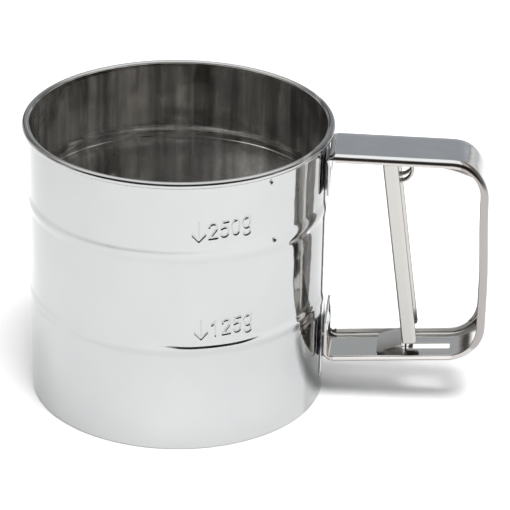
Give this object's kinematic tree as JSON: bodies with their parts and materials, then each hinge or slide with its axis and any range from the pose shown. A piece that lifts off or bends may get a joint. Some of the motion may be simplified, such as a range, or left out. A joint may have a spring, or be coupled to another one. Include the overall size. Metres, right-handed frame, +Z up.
{
  "type": "flour sifter",
  "caption": "One-hand squeeze flour sifter: a round steel cup with a wire screen, an oscillating agitator and a finger trigger in a strap handle.",
  "frame": {"origin": "on the cup axis at the base plane, the mouth of the skirt bore", "axes": "+Z up along the cup axis, +X from the cup towards the handle's grip, +Y across the handle"},
  "size_m": [0.151, 0.1, 0.0938],
  "materials": {
    "polished_steel": "mirror-polished stainless sheet with faint polishing marks",
    "handle_steel": "polished stainless strip",
    "satin_steel": "satin pressed steel",
    "rivet_steel": "peened, slightly dull",
    "spring_wire": "drawn wire",
    "screen_wire": "woven stainless wire",
    "bush_brass": "turned"
  },
  "bodies": {
    "root": {"cup_body": "polished_steel", "lap_seam_strip": "polished_steel", "screen_mesh": "screen_wire", "screen_ring_upper": "satin_steel", "screen_ring_lower": "satin_steel", "bridge_bar": "satin_steel", "bridge_rivets": "rivet_steel", "centre_rivet": "rivet_steel", "spacer_washer": "rivet_steel", "bearing_washer": "rivet_steel", "top_washer": "rivet_steel", "handle_strap": "handle_steel", "handle_rivets_top": "rivet_steel", "handle_rivets_bottom": "rivet_steel", "pivot_bracket": "satin_steel", "trigger_pin": "rivet_steel", "trigger_spring": "spring_wire"},
    "trigger": {"trigger": "handle_steel"},
    "link": {"drive_link": "satin_steel"},
    "agitator": {"agitator": "satin_steel", "hub_bush": "bush_brass", "crank_pin": "rivet_steel"}
  },
  "joints": [
    {"name": "trigger_squeeze", "type": "hinge", "parent": "root", "child": "trigger", "pos_m": [0.0689, 0, 0.0823], "axis": [0, -1, 0], "range_deg": [0, 11.2], "deforming": ["trigger_spring"]},
    {"name": "link_slide", "type": "slide", "parent": "root", "child": "link", "axis": [0.9973, 0, 0.0732], "range_m": [0, 0.0136]},
    {"name": "agitator_swing", "type": "hinge", "parent": "root", "child": "agitator", "pos_m": [0, 0, 0.009], "axis": [0, 0, 1], "range_deg": [0, 30.5]}
  ],
  "couplings": [
    {"joint": "link_slide", "follows": "trigger_squeeze", "m_per_rad": 0.0677},
    {"joint": "agitator_swing", "follows": "trigger_squeeze", "ratio": 2.626}
  ]
}
